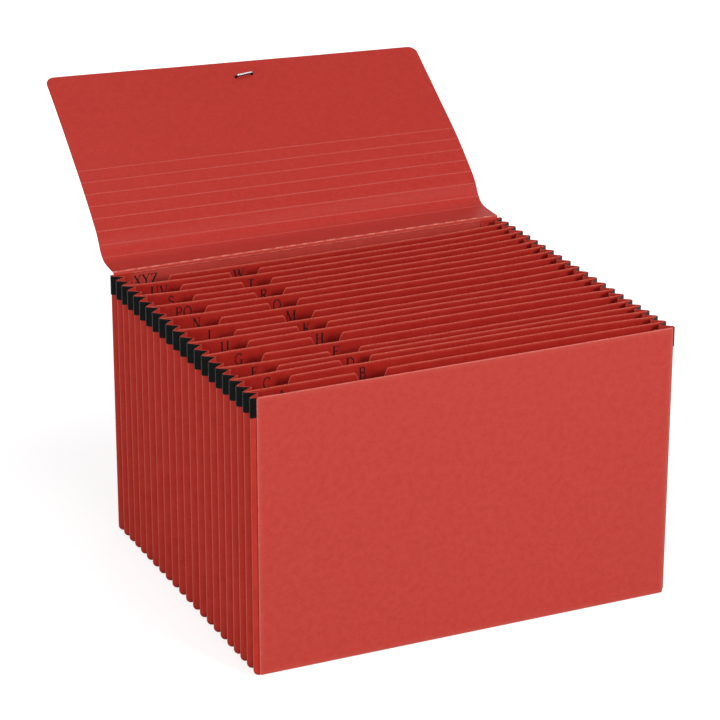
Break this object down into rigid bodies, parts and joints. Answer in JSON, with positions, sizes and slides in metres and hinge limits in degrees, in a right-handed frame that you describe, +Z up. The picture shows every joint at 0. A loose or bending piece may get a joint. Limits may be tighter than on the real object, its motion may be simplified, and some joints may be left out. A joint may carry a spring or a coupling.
{
  "type": "expanding document file",
  "caption": "Wide expanding document file: pleated sides and base, a row of index dividers between two board covers, and a hinged flap with a metal cord clip.",
  "frame": {"origin": "on the surface it stands on, under the middle of the whole object's box with the open flap in it", "axes": "+X to the file's right seen from its front cover, +Y from the front cover to the back cover and on to the laid-back flap, +Z up"},
  "size_m": [0.3822, 0.4936, 0.3767],
  "materials": {
    "cover_board": "calendered red pressboard",
    "gusset_paper": "matt red fibre paper",
    "divider_paper": "matt red fibre paper",
    "edge_tape": "black coated cloth tape",
    "clip_steel": "bright plated steel wire"
  },
  "bodies": {
    "file": {"gusset": "gusset_paper", "left_edge_tape": "edge_tape", "right_edge_tape": "edge_tape", "front_cover": "cover_board", "back_cover": "cover_board", "divider_01": "divider_paper", "divider_02": "divider_paper", "divider_03": "divider_paper", "divider_04": "divider_paper", "divider_05": "divider_paper", "divider_06": "divider_paper", "divider_07": "divider_paper", "divider_08": "divider_paper", "divider_09": "divider_paper", "divider_10": "divider_paper", "divider_11": "divider_paper", "divider_12": "divider_paper", "divider_13": "divider_paper", "divider_14": "divider_paper", "divider_15": "divider_paper", "divider_16": "divider_paper", "divider_17": "divider_paper", "divider_18": "divider_paper", "divider_19": "divider_paper", "divider_20": "divider_paper"},
    "flap": {"flap": "cover_board", "flap_clip": "clip_steel"}
  },
  "joints": [
    {"name": "flap_hinge", "type": "hinge", "parent": "file", "child": "flap", "pos_m": [0, 0.06939, 0.245], "axis": [1, 0, 0], "range_deg": [-45, 138]}
  ]
}
